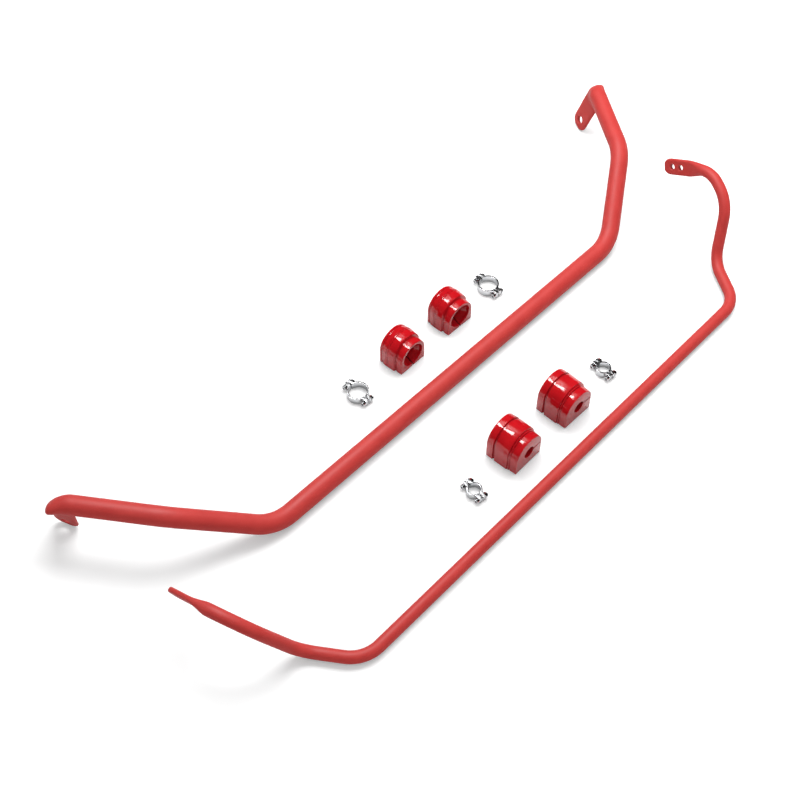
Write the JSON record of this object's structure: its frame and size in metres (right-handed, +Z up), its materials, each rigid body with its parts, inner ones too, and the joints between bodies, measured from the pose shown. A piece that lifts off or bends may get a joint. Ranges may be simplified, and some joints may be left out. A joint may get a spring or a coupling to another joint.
{
  "type": "sway bar kit",
  "caption": "Sway bar kit laid flat: a thick and a thin bent torsion bar with flattened drilled ends, split D-shaped bushes and bolted clamp collars.",
  "frame": {"origin": "on the bench, under the middle of the kit's box; the middle of the front bar is 2.9 mm away at +Y", "axes": "+X along the straight middle of the front bar, from its left arm to its right arm; +Y from the middles of the bars towards their arm ends; +Z up from the bench"},
  "size_m": [1.2386, 0.496, 0.1199],
  "materials": {
    "red_coat": "fine-grained matte powder coat on steel bar",
    "red_polyurethane": "glossy cast polyurethane",
    "bright_zinc": "bright zinc plate on steel"
  },
  "bodies": {
    "front_bar_left": {"front_bar_left": "red_coat"},
    "front_bar_right": {"front_bar_right": "red_coat"},
    "rear_bar_left": {"rear_bar_left": "red_coat"},
    "rear_bar_right": {"rear_bar_right": "red_coat"},
    "front_bush_left": {"front_bush_left": "red_polyurethane"},
    "front_bush_right": {"front_bush_right": "red_polyurethane"},
    "rear_bush_left": {"rear_bush_left": "red_polyurethane"},
    "rear_bush_right": {"rear_bush_right": "red_polyurethane"},
    "front_collar_left_head_half": {"front_collar_left_head_half": "bright_zinc"},
    "front_collar_left_nut_half": {"front_collar_left_nut_half": "bright_zinc", "front_collar_left_nut_1": "bright_zinc", "front_collar_left_nut_2": "bright_zinc"},
    "front_collar_left_screw_1": {"front_collar_left_screw_1": "bright_zinc"},
    "front_collar_left_screw_2": {"front_collar_left_screw_2": "bright_zinc"},
    "front_collar_right_head_half": {"front_collar_right_head_half": "bright_zinc"},
    "front_collar_right_nut_half": {"front_collar_right_nut_half": "bright_zinc", "front_collar_right_nut_1": "bright_zinc", "front_collar_right_nut_2": "bright_zinc"},
    "front_collar_right_screw_1": {"front_collar_right_screw_1": "bright_zinc"},
    "front_collar_right_screw_2": {"front_collar_right_screw_2": "bright_zinc"},
    "rear_collar_left_head_half": {"rear_collar_left_head_half": "bright_zinc"},
    "rear_collar_left_nut_half": {"rear_collar_left_nut_half": "bright_zinc", "rear_collar_left_nut_1": "bright_zinc", "rear_collar_left_nut_2": "bright_zinc"},
    "rear_collar_left_screw_1": {"rear_collar_left_screw_1": "bright_zinc"},
    "rear_collar_left_screw_2": {"rear_collar_left_screw_2": "bright_zinc"},
    "rear_collar_right_head_half": {"rear_collar_right_head_half": "bright_zinc"},
    "rear_collar_right_nut_half": {"rear_collar_right_nut_half": "bright_zinc", "rear_collar_right_nut_1": "bright_zinc", "rear_collar_right_nut_2": "bright_zinc"},
    "rear_collar_right_screw_1": {"rear_collar_right_screw_1": "bright_zinc"},
    "rear_collar_right_screw_2": {"rear_collar_right_screw_2": "bright_zinc"}
  },
  "joints": [
    {"name": "front_bar_twist", "type": "hinge", "parent": "front_bar_left", "child": "front_bar_right", "pos_m": [0, 0.00286, 0.015], "axis": [1, 0, 0], "range_deg": [0, 15], "stiffness_Nm_per_rad": 6500},
    {"name": "rear_bar_lift", "type": "slide", "parent": "front_bar_left", "child": "rear_bar_left", "axis": [0, 0, 1], "range_m": [0, 0.15]},
    {"name": "rear_bar_twist", "type": "hinge", "parent": "rear_bar_left", "child": "rear_bar_right", "pos_m": [-0.0069, -0.23204, 0.0095], "axis": [0.9999, 0.0159, 0], "range_deg": [0, 15], "stiffness_Nm_per_rad": 1160},
    {"name": "front_bush_left_lift", "type": "slide", "parent": "front_bar_left", "child": "front_bush_left", "axis": [0, 0, 1], "range_m": [0, 0.12]},
    {"name": "front_bush_right_lift", "type": "slide", "parent": "front_bar_left", "child": "front_bush_right", "axis": [0, 0, 1], "range_m": [0, 0.12]},
    {"name": "rear_bush_left_lift", "type": "slide", "parent": "front_bar_left", "child": "rear_bush_left", "axis": [0, 0, 1], "range_m": [0, 0.12]},
    {"name": "rear_bush_right_lift", "type": "slide", "parent": "front_bar_left", "child": "rear_bush_right", "axis": [0, 0, 1], "range_m": [0, 0.12]},
    {"name": "front_collar_left_lift", "type": "slide", "parent": "front_bar_left", "child": "front_collar_left_head_half", "axis": [0, 0, 1], "range_m": [0, 0.12]},
    {"name": "front_collar_left_screw_1_turn", "type": "hinge", "parent": "front_collar_left_head_half", "child": "front_collar_left_screw_1", "pos_m": [-0.12496, 0.11264, 0.0065], "axis": [-0.999, 0.0436, 0], "range_deg": [0, 720]},
    {"name": "front_collar_left_screw_2_turn", "type": "hinge", "parent": "front_collar_left_head_half", "child": "front_collar_left_screw_2", "pos_m": [-0.12684, 0.06948, 0.0065], "axis": [-0.999, 0.0436, 0], "range_deg": [0, 720]},
    {"name": "front_collar_left_opening", "type": "slide", "parent": "front_collar_left_head_half", "child": "front_collar_left_nut_half", "axis": [0.999, -0.0436, 0], "range_m": [0, 0.0016]},
    {"name": "front_collar_right_lift", "type": "slide", "parent": "front_bar_left", "child": "front_collar_right_head_half", "axis": [0, 0, 1], "range_m": [0, 0.12]},
    {"name": "front_collar_right_screw_1_turn", "type": "hinge", "parent": "front_collar_right_head_half", "child": "front_collar_right_screw_1", "pos_m": [0.18161, 0.11291, 0.0065], "axis": [-0.9976, 0.0698, 0], "range_deg": [0, 720]},
    {"name": "front_collar_right_screw_2_turn", "type": "hinge", "parent": "front_collar_right_head_half", "child": "front_collar_right_screw_2", "pos_m": [0.17859, 0.06981, 0.0065], "axis": [-0.9976, 0.0698, 0], "range_deg": [0, 720]},
    {"name": "front_collar_right_opening", "type": "slide", "parent": "front_collar_right_head_half", "child": "front_collar_right_nut_half", "axis": [0.9976, -0.0698, 0], "range_m": [0, 0.0016]},
    {"name": "rear_collar_left_lift", "type": "slide", "parent": "front_bar_left", "child": "rear_collar_left_head_half", "axis": [0, 0, 1], "range_m": [0, 0.12]},
    {"name": "rear_collar_left_screw_1_turn", "type": "hinge", "parent": "rear_collar_left_head_half", "child": "rear_collar_left_screw_1", "pos_m": [-0.13324, -0.14556, 0.006], "axis": [-0.9925, 0.1219, 0], "range_deg": [0, 720]},
    {"name": "rear_collar_left_screw_2_turn", "type": "hinge", "parent": "rear_collar_left_head_half", "child": "rear_collar_left_screw_2", "pos_m": [-0.13716, -0.17752, 0.006], "axis": [-0.9925, 0.1219, 0], "range_deg": [0, 720]},
    {"name": "rear_collar_left_opening", "type": "slide", "parent": "rear_collar_left_head_half", "child": "rear_collar_left_nut_half", "axis": [0.9925, -0.1219, 0], "range_m": [0, 0.0016]},
    {"name": "rear_collar_right_lift", "type": "slide", "parent": "front_bar_left", "child": "rear_collar_right_head_half", "axis": [0, 0, 1], "range_m": [0, 0.12]},
    {"name": "rear_collar_right_screw_1_turn", "type": "hinge", "parent": "rear_collar_right_head_half", "child": "rear_collar_right_screw_1", "pos_m": [0.1767, -0.1404, 0.006], "axis": [-0.9962, 0.0872, 0], "range_deg": [0, 720]},
    {"name": "rear_collar_right_screw_2_turn", "type": "hinge", "parent": "rear_collar_right_head_half", "child": "rear_collar_right_screw_2", "pos_m": [0.1739, -0.17248, 0.006], "axis": [-0.9962, 0.0872, 0], "range_deg": [0, 720]},
    {"name": "rear_collar_right_opening", "type": "slide", "parent": "rear_collar_right_head_half", "child": "rear_collar_right_nut_half", "axis": [0.9962, -0.0872, 0], "range_m": [0, 0.0016]}
  ],
  "couplings": [
    {"joint": "front_collar_left_screw_1_turn", "follows": "front_collar_left_opening", "rad_per_m": 7854},
    {"joint": "front_collar_left_screw_2_turn", "follows": "front_collar_left_opening", "rad_per_m": 7854},
    {"joint": "front_collar_right_screw_1_turn", "follows": "front_collar_right_opening", "rad_per_m": 7854},
    {"joint": "front_collar_right_screw_2_turn", "follows": "front_collar_right_opening", "rad_per_m": 7854},
    {"joint": "rear_collar_left_screw_1_turn", "follows": "rear_collar_left_opening", "rad_per_m": 7854},
    {"joint": "rear_collar_left_screw_2_turn", "follows": "rear_collar_left_opening", "rad_per_m": 7854},
    {"joint": "rear_collar_right_screw_1_turn", "follows": "rear_collar_right_opening", "rad_per_m": 7854},
    {"joint": "rear_collar_right_screw_2_turn", "follows": "rear_collar_right_opening", "rad_per_m": 7854}
  ]
}
